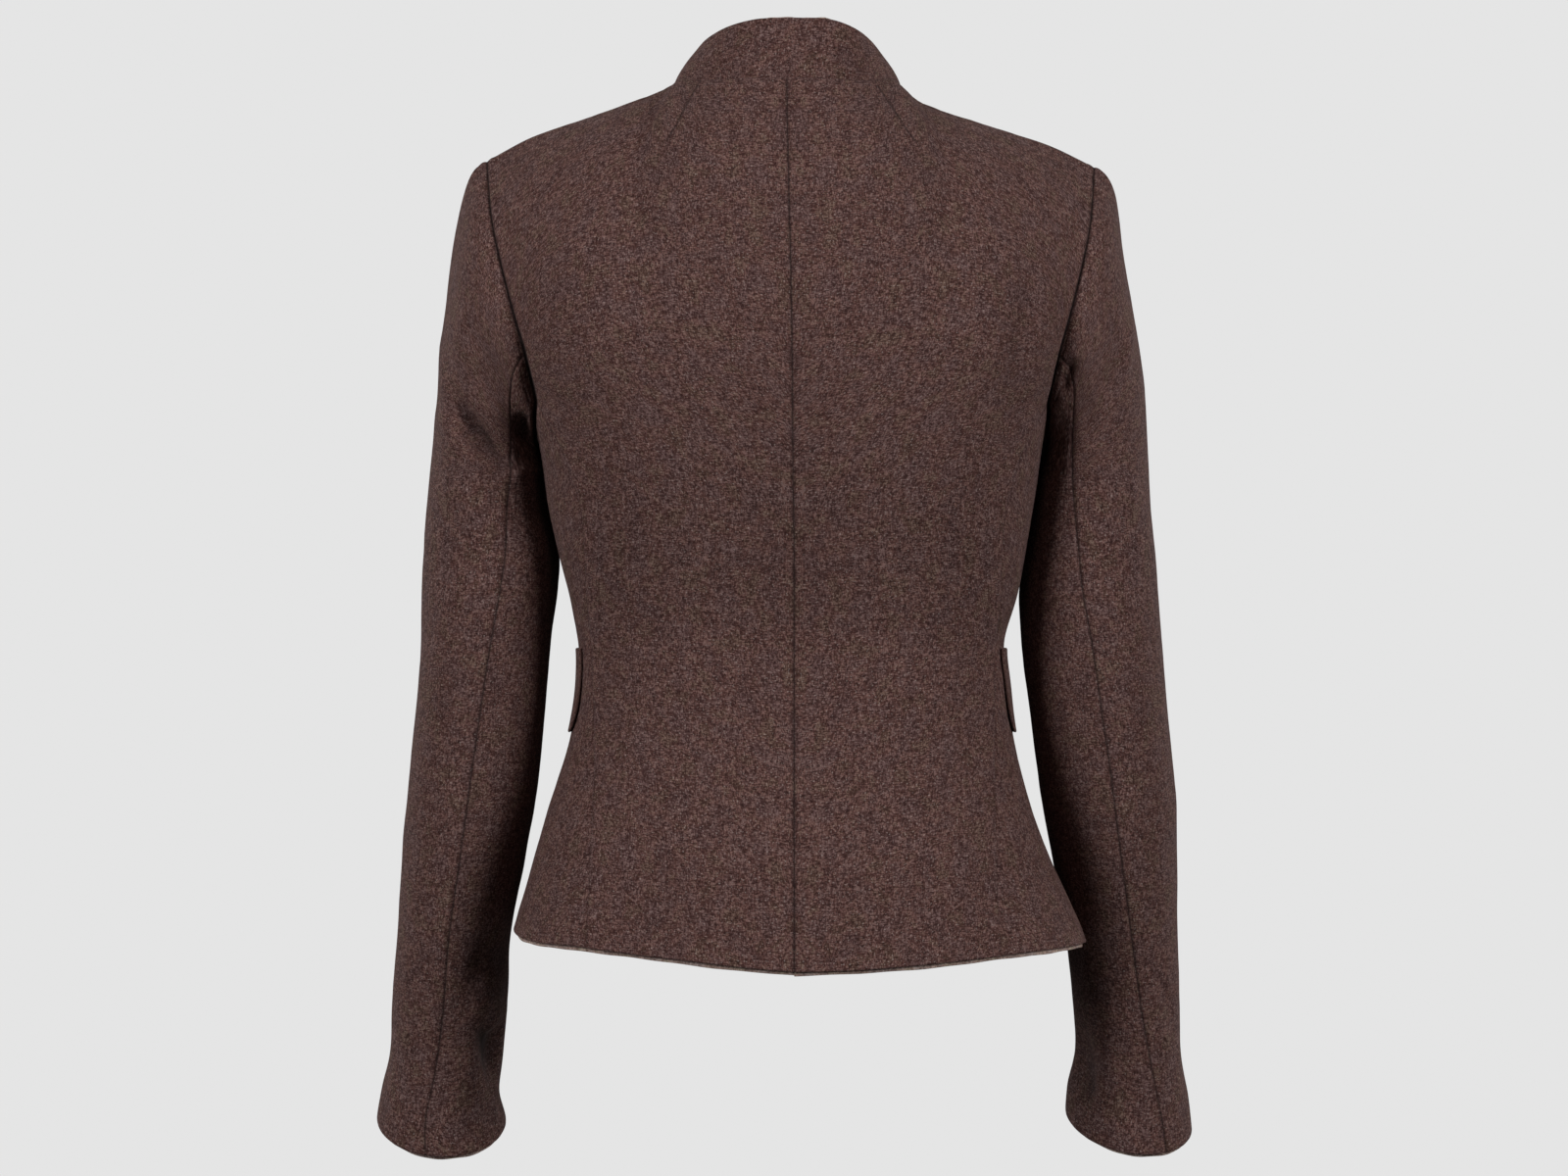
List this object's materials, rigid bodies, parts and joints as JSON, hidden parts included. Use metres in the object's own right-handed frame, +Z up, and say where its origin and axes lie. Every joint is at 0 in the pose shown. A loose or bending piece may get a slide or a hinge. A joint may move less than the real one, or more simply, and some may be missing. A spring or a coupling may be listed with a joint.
{
  "type": "wool jacket",
  "caption": "Fitted women's wool jacket with stand collar, princess seams, two-piece sleeves and hip flaps, filled out as if worn, with nobody in it.",
  "frame": {"origin": "middle of the neck opening, level with the inner ends of the shoulder seams", "axes": "+Z up the body, the garment's front faces -Y and its back +Y, the wearer's left arm is on +X"},
  "size_m": [0.53, 0.2571, 0.7247],
  "materials": {
    "brown_wool": "felted wool flannel, brown melange, matte",
    "taupe_edge": "light taupe wool edge cloth, matte",
    "horn": "dark horn, satin"
  },
  "bodies": {
    "root": {"back_left": "brown_wool", "back_right": "brown_wool", "side_left": "brown_wool", "side_right": "brown_wool", "front_left": "brown_wool", "front_right": "brown_wool", "sleeve_upper_left": "brown_wool", "sleeve_under_left": "brown_wool", "sleeve_upper_right": "brown_wool", "sleeve_under_right": "brown_wool", "collar": "brown_wool", "pocket_flap_left": "brown_wool", "pocket_flap_right": "brown_wool", "collar_edge": "taupe_edge", "hem_edge_left": "taupe_edge", "hem_edge_right": "taupe_edge", "cuff_edge_left": "taupe_edge", "cuff_edge_right": "taupe_edge", "button_1": "horn", "button_2": "horn", "button_3": "horn", "button_4": "horn", "button_5": "horn", "button_6": "horn"}
  },
  "joints": []
}
